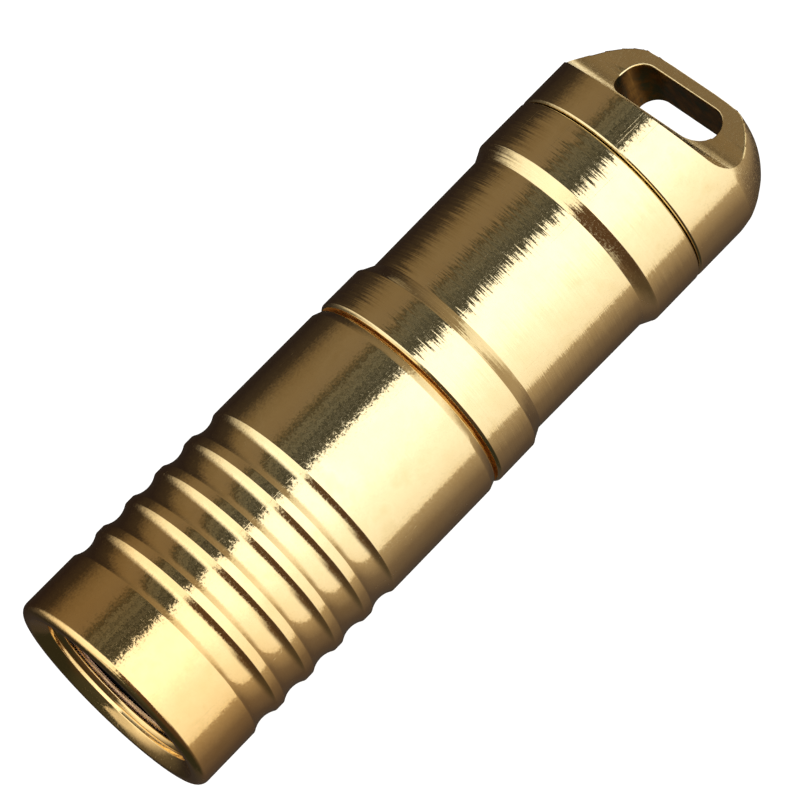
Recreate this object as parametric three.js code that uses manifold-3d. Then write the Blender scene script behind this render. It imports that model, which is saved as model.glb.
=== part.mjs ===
// Keychain flashlight: a brass twist-head light for one 10180 cell, lying on its side.
// Everything is turned about one axis along X: the head is at -X and the key-ring loop at +X.
// Lengths are millimetres. Stations (s) run from the front rim at s = 0 back to the loop's end.
import * as THREE from "three";
import { mergeVertices } from "three/addons/utils/BufferGeometryUtils.js";
import Module from "manifold-3d";

const wasm = await Module();
wasm.setup();
const { Manifold, Mesh: SolidMesh } = wasm;

// Whole light
const HEAD_R = 7.0; // across the head's ridges the light is 14 mm
const FRONT = 0;
const LOOP_END = 48.2;
const SIDES = 32; // flats round every turned piece, one of them straight down
const PITCH = 0.75; // both screw threads
const FIT = 0.06; // radial running clearance of both threads

// Head shell
const HEAD_REAR = 23.8;
const HEAD_REAR_R = 6.95;
const RIM_FILLET = 0.55;
const RIM_FLAT_R = 6.15; // the mouth's cone starts here
const RIM_DEPTH = 0.62; // and ends at this depth
const RIM_BORE_R = 5.4; // at the cone's foot, in front of the lens lip
const LIP_BORE_R = 4.95; // the clear opening over the lens
const LIP_FRONT = 0.85;
const LIP_REAR = 1.5;
const OPTIC_BORE_R = 5.75;
const THREAD_R = 6.0; // crests of the female threads in head and tube
const THREAD_FRONT = 13.2;
const SEAL_BORE_R = 6.3; // smooth bore for the neck's O-ring
const SEAL_FRONT = 21.4;
const GROOVES = 5;
const GROOVE_START = 4.27;
const GROOVE_PITCH = 2.345;
const GROOVE_WIDTH = 1.8;
const GROOVE_DEPTH = 0.26;
const GROOVE_STEPS = 4;

// Optic and light source, front to back
const LENS_R = 5.6;
const LENS_FRONT = 2.25;
const LENS_THICK = 1.1;
const REFLECTOR_FRONT = 3.45;
const REFLECTOR_REAR = 9.6;
const REFLECTOR_MOUTH_R = 5.1;
const REFLECTOR_THROAT_R = 1.75;
const LED_SIDE = 3.45;
const LED_THICK = 0.7;
const LED_DOME_R = 1.25;
const LED_BOARD_FRONT = 10.75;
const LED_BOARD_THICK = 1.0;
const LED_BOARD_R = 5.0;

// Pill, driver and cell contact
const PILL_FRONT = 11.85;
const PILL_FLOOR = 13.0;
const DRIVER_FRONT = 14.3;
const DRIVER_THICK = 1.0;
const DRIVER_R = 5.88;
const RING_FRONT = 15.4; // threaded ring that clamps the driver
const RING_REAR = 17.0;
const RING_BORE_R = 4.6;
const CONTACT_END = 17.5;
const WIRE_R = 0.25;
const WIRE_AT = 4.3; // distance of both wires from the axis

// Body tube
const NECK_FRONT = 17.25;
const CELL_BORE_R = 5.15;
const COLLAR_FRONT = 24.05;
const COLLAR_REAR = 27.0;
const COLLAR_R = 6.94;
const TUBE_FRONT_R = 6.45;
const TUBE_REAR_R = 6.5;
const TAIL_RING_R = 6.93;
const TAIL_SEAM = 40.5;
const TAIL_THREAD_FRONT = 36.8;

// 10180 cell
const CELL_R = 5.0;
const CELL_BUTTON = 17.75;
const CELL_END = 35.75;

// Tail cap with its key-ring loop
const CAP_FRONT = 40.6;
const CAP_R = 6.91;
const SPIGOT_FRONT = 37.0;
const POCKET_R = 4.6;
const POCKET_END = 42.2;
const DOME_START = 44.7;
const DOME_EDGE_R = 4;
const DOME_EDGE = 48.1;
const DOME_CURVE = 1.45; // 1 would be a cone and 2 a round end
const LOOP_HALF = 1.85; // half the thickness between the loop's two flats
const FLAT_START = 43.2; // where the cut for the flats breaks the cap's side
const FLAT_FILLET = 2.5;
const FLAT_LEAN = 15; // degrees the cut's wall leans back
const SLOT_CENTRE = 46.1;
const SLOT_WIDTH = 2.65;
const SLOT_LENGTH = 7.45;
const SLOT_END_R = 1.25;
const SPRING_TURNS = 5;

// Solids

/** Moves s = 0 to the front and the axis to a height of one head radius. */
function place(geometry) {
  return geometry.translate(-(FRONT + LOOP_END) / 2, 0, HEAD_R);
}

/** Turns a closed profile of [s, r] points about X. Flats, not corners, are r from the axis. */
function turned(profile, sides = SIDES) {
  const grow = 1 / Math.cos(Math.PI / sides);
  let area = 0;
  profile.forEach(([s, r], i) => {
    const [s2, r2] = profile[(i + 1) % profile.length];
    area += s * r2 - s2 * r;
  });
  const ordered = area > 0 ? [...profile].reverse() : [...profile];
  const points = ordered.map(([s, r]) => new THREE.Vector2(r * grow, s));
  points.push(points[0].clone());
  const half = Math.PI / sides;
  return new THREE.LatheGeometry(points, sides, half).rotateZ(-Math.PI / 2);
}

/** The same, for a profile that starts and ends on the axis. */
function turnedSolid(profile, sides = SIDES) {
  const grow = 1 / Math.cos(Math.PI / sides);
  const forward = profile[0][0] < profile[profile.length - 1][0];
  const ordered = forward ? [...profile].reverse() : [...profile];
  const points = ordered.map(([s, r]) => new THREE.Vector2(r * grow, s)).reverse();
  return new THREE.LatheGeometry(points, sides, Math.PI / sides).rotateZ(-Math.PI / 2);
}

/** A plain ring between two stations, with its outer corners broken by chamfer c. */
function ring(s0, s1, inner, outer, c = 0) {
  if (!c) {
    return turned([[s0, inner], [s0, outer], [s1, outer], [s1, inner]]);
  }
  return turned([
    [s0, inner],
    [s0, outer - c],
    [s0 + c, outer],
    [s1 - c, outer],
    [s1, outer - c],
    [s1, inner],
  ]);
}

/** An O-ring of section radius w round the axis at radius r. */
function torus(s, r, w, steps = 8) {
  const profile = [];
  for (let i = 0; i < steps; i++) {
    const a = (2 * Math.PI * (i + 0.5)) / steps;
    profile.push([s + w * Math.cos(a), r + w * Math.sin(a)]);
  }
  return turned(profile);
}

/** Points of a circular arc from angle a0 to a1, in degrees, about (s, r). */
function arc(s, r, radius, a0, a1, steps) {
  const points = [];
  for (let i = 0; i <= steps; i++) {
    const a = THREE.MathUtils.degToRad(a0 + ((a1 - a0) * i) / steps);
    points.push([s + radius * Math.cos(a), r + radius * Math.sin(a)]);
  }
  return points;
}

/** A round wire of radius w along a curve, closed at both ends. */
function wire(curve, w, steps, sides = 8) {
  const section = new THREE.Shape();
  for (let k = 0; k < sides; k++) {
    const a = (2 * Math.PI * k) / sides;
    if (k) section.lineTo(w * Math.cos(a), w * Math.sin(a));
    else section.moveTo(w, 0);
  }
  return new THREE.ExtrudeGeometry(section, {
    steps,
    bevelEnabled: false,
    extrudePath: curve,
  });
}

/** A geometry as a solid that can be cut. */
function toSolid(geometry) {
  const bare = new THREE.BufferGeometry();
  bare.setAttribute("position", geometry.getAttribute("position"));
  bare.setIndex(geometry.index);
  const merged = mergeVertices(bare, 1e-4);
  const kept = [];
  const all = merged.index.array;
  for (let i = 0; i < all.length; i += 3) {
    const [a, b, c] = [all[i], all[i + 1], all[i + 2]];
    if (a !== b && b !== c && a !== c) kept.push(a, b, c);
  }
  return new Manifold(
    new SolidMesh({
      numProp: 3,
      vertProperties: new Float32Array(merged.attributes.position.array),
      triVerts: new Uint32Array(kept),
    }),
  );
}

/** A solid back as a geometry. */
function toGeometry(solid) {
  const m = solid.getMesh();
  const g = new THREE.BufferGeometry();
  const xyz = new Float32Array(m.numVert * 3);
  for (let i = 0; i < m.numVert; i++) {
    xyz.set(m.vertProperties.subarray(i * m.numProp, i * m.numProp + 3), i * 3);
  }
  g.setAttribute("position", new THREE.BufferAttribute(xyz, 3));
  g.setIndex(new THREE.BufferAttribute(new Uint32Array(m.triVerts), 1));
  return g;
}

/** A box of the given sizes centred at a point of the axis frame. */
function block(sx, sy, sz, at) {
  return new THREE.BoxGeometry(sx, sy, sz).translate(...at);
}

/** A round bar along X between two stations, at y from the axis. */
function bar(s0, s1, r, y) {
  const g = new THREE.CylinderGeometry(r, r, s1 - s0, 12);
  return g.rotateZ(Math.PI / 2).translate((s0 + s1) / 2, y, 0);
}

// Materials

/** A material with a base colour, how metallic it is and how rough. */
function material(color, metalness, roughness, opacity = 1) {
  return new THREE.MeshStandardMaterial({
    color,
    metalness,
    roughness,
    opacity,
    transparent: opacity < 1,
  });
}

const group = new THREE.Group();
group.name = "keychain_flashlight";

/** Adds one named piece. */
function add(name, geometry, color, metalness, roughness, opacity) {
  const surface = material(color, metalness, roughness, opacity);
  const mesh = new THREE.Mesh(place(geometry), surface);
  mesh.name = name;
  group.add(mesh);
}

const BRASS = 0xc9a24e;
const GOLD = 0xd9b455;
const RUBBER = 0x1b1b1d;

// Head

/** The head's outside from rim to rear, with its shallow grip grooves. */
function headOutside() {
  const points = arc(RIM_FILLET, HEAD_R - RIM_FILLET, RIM_FILLET, 180, 90, 4);
  const half = GROOVE_WIDTH / 2;
  const radius = (half * half + GROOVE_DEPTH * GROOVE_DEPTH) / (2 * GROOVE_DEPTH);
  for (let g = 0; g < GROOVES; g++) {
    const middle = GROOVE_START + half + g * GROOVE_PITCH;
    for (let i = 0; i <= GROOVE_STEPS; i++) {
      const ds = -half + (GROOVE_WIDTH * i) / GROOVE_STEPS;
      const sag = radius - Math.sqrt(radius * radius - ds * ds);
      points.push([middle + ds, HEAD_R - 0.02 - GROOVE_DEPTH + sag]);
    }
  }
  points.push([23.3, HEAD_REAR_R], [HEAD_REAR, 6.76]);
  return points;
}

add(
  "head_shell",
  turned([
    [FRONT, RIM_FLAT_R],
    ...headOutside(),
    [HEAD_REAR, SEAL_BORE_R + 0.14],
    [HEAD_REAR - 0.2, SEAL_BORE_R],
    [SEAL_FRONT, SEAL_BORE_R],
    [SEAL_FRONT - 0.3, THREAD_R],
    [THREAD_FRONT, THREAD_R],
    [THREAD_FRONT, OPTIC_BORE_R],
    [LIP_REAR, OPTIC_BORE_R],
    [LIP_REAR, LIP_BORE_R],
    [LIP_FRONT + 0.22, LIP_BORE_R],
    [LIP_FRONT, LIP_BORE_R + 0.18],
    [LIP_FRONT, RIM_BORE_R],
    [RIM_DEPTH, RIM_BORE_R],
  ]),
  BRASS,
  1,
  0.25,
);

add("lens_o_ring", torus(1.89, 5.38, 0.3), RUBBER, 0, 0.8);

const lensBack = LENS_FRONT + LENS_THICK;
add(
  "lens",
  turnedSolid([
    [LENS_FRONT, 0],
    [LENS_FRONT, LENS_R - 0.12],
    [LENS_FRONT + 0.12, LENS_R],
    [lensBack - 0.12, LENS_R],
    [lensBack, LENS_R - 0.12],
    [lensBack, 0],
  ]),
  0xdfe6ee,
  0,
  0.05,
  0.35,
);

/** The reflector: a thin bowl whose inside is a parabola that narrows to the throat. */
function reflector() {
  const inside = [];
  const steps = 7;
  const deep = REFLECTOR_REAR - REFLECTOR_FRONT - 0.15;
  const k = (REFLECTOR_MOUTH_R ** 2 - REFLECTOR_THROAT_R ** 2) / deep;
  for (let i = 0; i <= steps; i++) {
    const s = REFLECTOR_FRONT + 0.15 + (deep * i) / steps;
    inside.push([s, Math.sqrt(REFLECTOR_MOUTH_R ** 2 - k * (s - REFLECTOR_FRONT - 0.15))]);
  }
  return turned([
    [REFLECTOR_FRONT, REFLECTOR_MOUTH_R],
    ...inside,
    [REFLECTOR_REAR, 3.2],
    [8.6, 3.5],
    [6.8, 4.6],
    [5.0, 5.6],
    [REFLECTOR_FRONT, 5.6],
  ]);
}

add("reflector", reflector(), 0xdadde0, 1, 0.08);

add(
  "led_dome",
  turnedSolid(
    [
      [LED_BOARD_FRONT - LED_THICK - 0.14, 0],
      [LED_BOARD_FRONT - LED_THICK - 0.14, LED_DOME_R],
      ...arc(LED_BOARD_FRONT - LED_THICK - 0.14, 0, LED_DOME_R, 112, 168, 3),
      [LED_BOARD_FRONT - LED_THICK - 0.14 - LED_DOME_R, 0],
    ].reverse(),
    24,
  ),
  0xf3e9b0,
  0,
  0.1,
  0.6,
);
add(
  "led_package",
  block(LED_THICK, LED_SIDE, LED_SIDE, [LED_BOARD_FRONT - LED_THICK / 2 - 0.06, 0, 0]),
  0xe8d45a,
  0,
  0.5,
);
const gasket = ring(REFLECTOR_REAR + 0.08, LED_BOARD_FRONT - 0.08, 2.65, 3.35);
add("led_gasket", gasket, 0xf1f1ee, 0, 0.7);

const ledBoard = toSolid(
  turnedSolid([
    [LED_BOARD_FRONT, 0],
    [LED_BOARD_FRONT, LED_BOARD_R],
    [LED_BOARD_FRONT + LED_BOARD_THICK, LED_BOARD_R],
    [LED_BOARD_FRONT + LED_BOARD_THICK, 0],
  ]),
);
const notches = [1, -1].map((y) => {
  const at = [LED_BOARD_FRONT + 0.5, y * (WIRE_AT + 0.75), 0];
  return toSolid(block(2, 2.6, 1.1, at));
});
const notched = ledBoard.subtract(notches[0]).subtract(notches[1]);
add("led_board", toGeometry(notched), 0xf0f0ec, 0.1, 0.6);

// The pill is a brass cup: the LED board sits on its floor and the driver closes its mouth.
const pill = toSolid(
  turnedSolid([
    [PILL_FRONT, 0],
    [PILL_FRONT, OPTIC_BORE_R - 0.06],
    [THREAD_FRONT + 0.06, OPTIC_BORE_R - 0.06],
    [THREAD_FRONT + 0.06, THREAD_R - FIT],
    [DRIVER_FRONT - 0.08, THREAD_R - FIT],
    [DRIVER_FRONT - 0.08, 5.1],
    [PILL_FLOOR, 5.1],
    [PILL_FLOOR, 0],
  ]),
);
const wireHoles = [1, -1].map((y) => toSolid(bar(11, 14, 0.45, y * WIRE_AT)));
add("pill", toGeometry(pill.subtract(wireHoles[0]).subtract(wireHoles[1])), BRASS, 1, 0.4);

/** A lead from the driver through the pill, bent in over the LED board's edge. */
function lead(y) {
  const bend = 0.5;
  const top = LED_BOARD_FRONT - WIRE_R - 0.1;
  const path = new THREE.CurvePath();
  const start = new THREE.Vector3(DRIVER_FRONT - 0.08, y * WIRE_AT, 0);
  const turn = new THREE.Vector3(top + bend, y * WIRE_AT, 0);
  const corner = new THREE.Vector3(top, y * WIRE_AT, 0);
  const end = new THREE.Vector3(top, y * (WIRE_AT - bend), 0);
  path.add(new THREE.LineCurve3(start, turn));
  path.add(new THREE.QuadraticBezierCurve3(turn, corner, end));
  return wire(path, WIRE_R, 12);
}

add("led_wire_positive", lead(1), 0xb3261e, 0, 0.5);
add("led_wire_negative", lead(-1), 0x1c1c1e, 0, 0.5);

add(
  "driver_board",
  turnedSolid([
    [DRIVER_FRONT, 0],
    [DRIVER_FRONT, DRIVER_R],
    [DRIVER_FRONT + DRIVER_THICK, DRIVER_R],
    [DRIVER_FRONT + DRIVER_THICK, 0],
  ]),
  0x1f5c39,
  0,
  0.5,
);
add("driver_chip", block(0.85, 3.0, 3.0, [DRIVER_FRONT - 0.5, 0, 1.5]), 0x18181a, 0, 0.5);
add("driver_capacitor", block(0.8, 1.6, 0.9, [DRIVER_FRONT - 0.48, 0, -2.2]), 0xb08d57, 0, 0.5);

const driverBack = DRIVER_FRONT + DRIVER_THICK;
const clampRing = toSolid(ring(RING_FRONT, RING_REAR, RING_BORE_R, THREAD_R - FIT, 0.15));
const spanner = toSolid(block(1.0, 14, 1.2, [RING_REAR, 0, 0]));
add("driver_retaining_ring", toGeometry(clampRing.subtract(spanner)), BRASS, 1, 0.4);
add(
  "driver_contact",
  turnedSolid([
    [driverBack + 0.06, 0],
    [driverBack + 0.06, 2.0],
    [driverBack + 0.4, 2.0],
    [driverBack + 0.4, 1.45],
    [CONTACT_END - 0.3, 1.45],
    [CONTACT_END - 0.06, 1.1],
    [CONTACT_END, 0],
  ]),
  GOLD,
  1,
  0.25,
);
add("foam_ring", ring(driverBack + 0.1, 17.8, 2.25, 4.35), 0x2a2a2e, 0, 0.95);

// Body tube

add(
  "body_tube",
  turned([
    [NECK_FRONT, CELL_BORE_R + 0.12],
    [NECK_FRONT, 5.72],
    [NECK_FRONT + 0.22, THREAD_R - FIT],
    [21.5, THREAD_R - FIT],
    [21.75, SEAL_BORE_R - FIT],
    [22.3, SEAL_BORE_R - FIT],
    [22.3, 5.72],
    [23.1, 5.72],
    [23.1, SEAL_BORE_R - FIT],
    [COLLAR_FRONT, SEAL_BORE_R - FIT],
    [COLLAR_FRONT, COLLAR_R - 0.18],
    [COLLAR_FRONT + 0.18, COLLAR_R],
    [COLLAR_REAR - 0.08, COLLAR_R - 0.02],
    [COLLAR_REAR + 0.05, COLLAR_R - 0.12],
    [27.8, TUBE_FRONT_R],
    [36.27, TUBE_REAR_R],
    [37.0, TAIL_RING_R - 0.08],
    [37.14, TAIL_RING_R],
    [TAIL_SEAM - 0.1, TAIL_RING_R - 0.01],
    [TAIL_SEAM, TAIL_RING_R - 0.11],
    [TAIL_SEAM, THREAD_R + 0.15],
    [TAIL_SEAM - 0.15, THREAD_R],
    [TAIL_THREAD_FRONT, THREAD_R],
    [TAIL_THREAD_FRONT - 0.4, CELL_BORE_R],
    [NECK_FRONT + 0.12, CELL_BORE_R],
  ]),
  BRASS,
  1,
  0.25,
);
add("head_o_ring", torus(22.7, 5.98, 0.24), RUBBER, 0, 0.8);

// Cell

add(
  "cell_positive_cap",
  turnedSolid([
    [CELL_BUTTON, 0],
    [CELL_BUTTON, 1.65],
    [CELL_BUTTON + 0.2, 1.9],
    [CELL_BUTTON + 0.68, 1.9],
    [CELL_BUTTON + 0.68, 0],
  ]),
  0xc9ccd0,
  1,
  0.3,
);
add("cell_insulator", ring(18.24, 18.43, 2.1, 4.7), 0xf2f2ee, 0, 0.7);
add(
  "cell_can",
  turnedSolid([
    [18.52, 0],
    [18.52, 4.6],
    [18.75, 4.84],
    [19.9, 4.84],
    [20.15, 4.62],
    [20.4, 4.84],
    [CELL_END - 0.35, 4.84],
    [CELL_END - 0.12, 4.6],
    [CELL_END - 0.12, 0],
  ]),
  0xb9bcc1,
  1,
  0.3,
);
add(
  "cell_wrap",
  turned([
    [18.06, 4.1],
    [18.06, 4.85],
    [18.2, CELL_R],
    [CELL_END - 0.1, CELL_R],
    [CELL_END, CELL_R - 0.12],
    [CELL_END, 4.2],
    [CELL_END - 0.07, 4.2],
    [CELL_END - 0.07, CELL_R - 0.1],
    [18.17, CELL_R - 0.1],
    [18.17, 4.1],
  ]),
  0x2f5fa8,
  0,
  0.35,
);

// Tail cap

/** The cap before its loop is cut: spigot, side, rounded end and the spring's pocket. */
function capBlank() {
  const dome = [];
  const steps = 7;
  for (let i = 0; i <= steps; i++) {
    const a = (Math.PI / 2) * (i / steps);
    const along = Math.sin(a) ** (2 / DOME_CURVE);
    const across = Math.cos(a) ** (2 / DOME_CURVE);
    const s = DOME_START + (DOME_EDGE - DOME_START) * along;
    dome.push([s, DOME_EDGE_R + (CAP_R - DOME_EDGE_R) * across]);
  }
  const spigotR = THREAD_R - FIT;
  return turnedSolid([
    [POCKET_END, 0],
    [POCKET_END, POCKET_R],
    [SPIGOT_FRONT, POCKET_R],
    [SPIGOT_FRONT, spigotR - 0.2],
    [SPIGOT_FRONT + 0.2, spigotR],
    [39.5, spigotR],
    [39.5, 5.33],
    [40.3, 5.33],
    [40.3, spigotR],
    [CAP_FRONT, spigotR],
    [CAP_FRONT, CAP_R - 0.1],
    [CAP_FRONT + 0.1, CAP_R],
    ...dome,
    [LOOP_END, 0],
  ]);
}

/** The waste over one flat: a steep wall that runs out into the flat through a fillet. */
function flatCut(turn) {
  const lean = THREE.MathUtils.degToRad(FLAT_LEAN);
  const top = 9;
  const wallS = (h) => FLAT_START + (CAP_R - h) * Math.tan(lean);
  const reach = FLAT_FILLET * (1 - Math.sin(lean));
  const h0 = LOOP_HALF + reach;
  const centreS = wallS(h0) + FLAT_FILLET * Math.cos(lean);
  const points = [[wallS(top), top]];
  for (let i = 0; i <= 5; i++) {
    const a = Math.PI + lean + ((Math.PI / 2 - lean) * i) / 5;
    points.push([
      centreS + FLAT_FILLET * Math.cos(a),
      LOOP_HALF + FLAT_FILLET + FLAT_FILLET * Math.sin(a),
    ]);
  }
  points.push([52, LOOP_HALF], [52, top]);
  const shape = new THREE.Shape(points.map(([s, h]) => new THREE.Vector2(s, h)));
  const g = new THREE.ExtrudeGeometry(shape, { depth: 20, bevelEnabled: false });
  return toSolid(g.translate(0, 0, -10).rotateX(Math.PI / 2 + turn));
}

/** The key-ring slot: rounded ends, straight through from flat to flat. */
function slotCut() {
  const shape = new THREE.Shape();
  const halfW = SLOT_WIDTH / 2;
  const halfL = SLOT_LENGTH / 2;
  const steps = 6;
  const corner = [];
  [[1, 1, 0], [-1, 1, 90], [-1, -1, 180], [1, -1, 270]].forEach(([sx, sy, a0]) => {
    const cx = sx * (halfW - SLOT_END_R);
    const cy = sy * (halfL - SLOT_END_R);
    corner.push(...arc(cx, cy, SLOT_END_R, a0, a0 + 90, steps));
  });
  corner.forEach(([x, y], i) => (i ? shape.lineTo(x, y) : shape.moveTo(x, y)));
  const g = new THREE.ExtrudeGeometry(shape, { depth: 20, bevelEnabled: false });
  return toSolid(g.translate(SLOT_CENTRE, 0, -10));
}

const cap = toSolid(capBlank())
  .subtract(flatCut(0))
  .subtract(flatCut(Math.PI))
  .subtract(slotCut());
add("tail_cap", toGeometry(cap), BRASS, 1, 0.25);
add("tail_o_ring", torus(39.9, 5.62, 0.26), RUBBER, 0, 0.8);
add("spring_plate", ring(POCKET_END - 0.45, POCKET_END - 0.1, 1.0, 4.4), GOLD, 1, 0.3);

/** The cell spring: a cone of wire, wide on its plate and narrow at the cell. */
class SpringCurve extends THREE.Curve {
  getPoint(t, target = new THREE.Vector3()) {
    const start = POCKET_END - 0.8;
    const end = CELL_END + 0.4;
    const a = 2 * Math.PI * SPRING_TURNS * t;
    const r = 3.6 - 1.4 * t;
    return target.set(start + (end - start) * t, r * Math.cos(a), r * Math.sin(a));
  }
}

const coil = wire(new SpringCurve(), 0.27, 14 * SPRING_TURNS, 6);
add("tail_spring", coil, 0xc7a04a, 1, 0.3);

export default group;
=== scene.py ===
# %% [markdown]
# # A brass keychain flashlight
# The light is a stack of turned brass pieces round one cell: a head that screws on a neck, a plain tube, and a
# tail cap whose end is cut to a loop for a key ring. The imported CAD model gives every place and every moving
# body, so it is loaded first, and all the looks are built round it.

import math

import bmesh
import bpy
from mathutils import Matrix, Vector


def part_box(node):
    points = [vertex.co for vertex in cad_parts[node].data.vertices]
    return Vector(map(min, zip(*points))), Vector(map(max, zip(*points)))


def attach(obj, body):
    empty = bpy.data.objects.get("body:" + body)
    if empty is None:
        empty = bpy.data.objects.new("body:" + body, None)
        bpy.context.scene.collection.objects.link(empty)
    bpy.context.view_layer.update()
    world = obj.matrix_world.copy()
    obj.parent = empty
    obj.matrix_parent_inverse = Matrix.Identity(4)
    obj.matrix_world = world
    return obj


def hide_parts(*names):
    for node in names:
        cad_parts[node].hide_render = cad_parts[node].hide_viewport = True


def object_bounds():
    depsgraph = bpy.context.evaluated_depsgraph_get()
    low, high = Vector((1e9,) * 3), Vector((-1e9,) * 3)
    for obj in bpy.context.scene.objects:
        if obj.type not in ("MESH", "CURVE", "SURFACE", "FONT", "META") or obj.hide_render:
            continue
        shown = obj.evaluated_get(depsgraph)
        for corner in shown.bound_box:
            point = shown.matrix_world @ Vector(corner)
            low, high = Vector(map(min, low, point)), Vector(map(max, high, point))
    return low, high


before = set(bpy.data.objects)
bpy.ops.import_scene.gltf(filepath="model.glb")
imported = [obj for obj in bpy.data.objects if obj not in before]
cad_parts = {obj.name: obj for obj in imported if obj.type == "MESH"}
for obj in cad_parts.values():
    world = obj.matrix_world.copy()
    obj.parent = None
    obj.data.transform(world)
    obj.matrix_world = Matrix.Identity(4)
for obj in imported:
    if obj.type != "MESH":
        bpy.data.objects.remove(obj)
cad_box = [list(corner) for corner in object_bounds()]
print("CAD box, mm:", [[round(v * 1000, 2) for v in corner] for corner in cad_box])

# %% [markdown]
# Turned pieces are drawn as a maker would note them: a station in millimetres back from the front rim, and a
# radius. One function turns such a pair into a point in metres beside the axis.

# %% Stations along the barrel
MM = 0.001
FRONT_X = cad_box[0][0]
cell_low, cell_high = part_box("cell_can")
AXIS = Vector((0, (cell_low.y + cell_high.y) / 2, (cell_low.z + cell_high.z) / 2))
ROUND = 2 * math.pi


def at(station, radius, across=0.0):
    """The point at a station and a height over the axis, with a distance across it, all in millimetres."""
    return Vector((FRONT_X + station * MM, AXIS.y + across * MM, AXIS.z + radius * MM))


length = (cad_box[1][0] - cad_box[0][0]) / MM
print("barrel length, mm:", round(length, 2), "axis height, mm:", round(AXIS.z / MM, 2))

# %% [markdown]
# ## The camera
# The light is seen from over its lens end with a long lens, far enough away that its sides stay almost
# parallel. The barrel runs from low on the left to high on the right, so the camera is rolled about its line
# of sight. It is made from three facts: how far it stands round towards the lens end, how high, and the roll.

# %% Make the camera
TOWARDS_LENS = math.radians(11.98)
OVER = math.radians(33.95)
ROLL = math.radians(45.51)
DISTANCE = 0.36
LENS, FILM = 290.5, 36
SHIFT_RIGHT, SHIFT_UP = 0.0143, 0.0196
aim = at(22.36, 0)
to_camera = Vector((
    -math.sin(TOWARDS_LENS),
    -math.cos(TOWARDS_LENS) * math.sin(OVER),
    math.cos(TOWARDS_LENS) * math.cos(OVER),
))
barrel = (Vector((1, 0, 0)) - to_camera * to_camera.x).normalized()
beside = to_camera.cross(barrel)
right = barrel * math.cos(ROLL) - beside * math.sin(ROLL)
up = barrel * math.sin(ROLL) + beside * math.cos(ROLL)
camera_data = bpy.data.cameras.new("camera")
camera = bpy.data.objects.new("camera", camera_data)
camera_data.sensor_width = FILM
camera_data.lens = LENS
camera_data.shift_x = SHIFT_RIGHT
camera_data.shift_y = SHIFT_UP
camera_data.clip_start = 0.01
camera_data.clip_end = 10
camera.matrix_world = Matrix.Translation(aim + to_camera * DISTANCE) @ Matrix(
    (right, up, to_camera)
).transposed().to_4x4()
bpy.context.scene.collection.objects.link(camera)
bpy.context.scene.camera = camera
print("camera at, mm:", [round(v / MM, 1) for v in camera.location])

# %% [markdown]
# ## Nodes and colours
# Every finish is a small tree of nodes. One function adds a node, sets its inputs and links it, and another
# turns the hex colours that people read into the linear numbers that light is worked out with.


# %% Helpers for materials
def linear(code):
    """An sRGB hex colour as a linear RGBA tuple."""
    values = [int(code[i:i + 2], 16) / 255 for i in (0, 2, 4)]
    return (*[v / 12.92 if v <= 0.04045 else ((v + 0.055) / 1.055) ** 2.4 for v in values], 1)


def node(tree, kind, inputs=None, stops=(), **settings):
    """Adds a node. An input is a value, or an output of another node to link from. A colour ramp also takes its
    stops, each a place and a colour."""
    made = tree.nodes.new(kind)
    for name, value in settings.items():
        setattr(made, name, value)
    for key, value in (inputs or {}).items():
        socket = made.inputs[key]
        if isinstance(value, bpy.types.NodeSocket):
            tree.links.new(value, socket)
        else:
            socket.default_value = value
    band = made.color_ramp.elements if stops else ()
    while len(band) < len(stops):
        band.new(1)
    for element, (place, colour) in zip(band, stops):
        element.position = place
        element.color = colour
    return made


def new_material(name):
    """An empty node material with its shader and its output."""
    material = bpy.data.materials.new(name)
    material.use_nodes = True
    tree = material.node_tree
    tree.nodes.clear()
    shader = node(tree, "ShaderNodeBsdfPrincipled")
    node(tree, "ShaderNodeOutputMaterial", {"Surface": shader.outputs["BSDF"]})
    return material, tree, shader


# %% [markdown]
# ## Light
# Polished brass has almost no colour of its own: it shows what stands round it. So the light stands in a tent
# with one broad white side and brown boards elsewhere, which puts one bright band with a crisp edge along the
# barrel and leaves the rest bronze. The tent is painted on the world. Each list goes round the barrel: an angle
# in degrees over the near horizon, past 90 for the far side, and the light there. The first list is for what
# stands beside the barrel, and the others take over from it as a reflection leans towards one end.

# %% Paint the light tent
world = bpy.data.worlds.new("light_tent")
bpy.context.scene.world = world
world.use_nodes = True
tent = world.node_tree
tent.nodes.clear()
direction = node(tent, "ShaderNodeTexCoord").outputs["Generated"]
parts = node(tent, "ShaderNodeSeparateXYZ", {"Vector": direction}).outputs
away = node(tent, "ShaderNodeMath", {0: parts["Y"], 1: -1.0}, operation="MULTIPLY").outputs[0]
angle = node(tent, "ShaderNodeMath", {0: away, 1: parts["Z"]}, operation="ARCTAN2").outputs[0]
turn = node(tent, "ShaderNodeMapRange", {"Value": angle, "From Min": -math.pi, "From Max": math.pi}).outputs[0]


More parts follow.
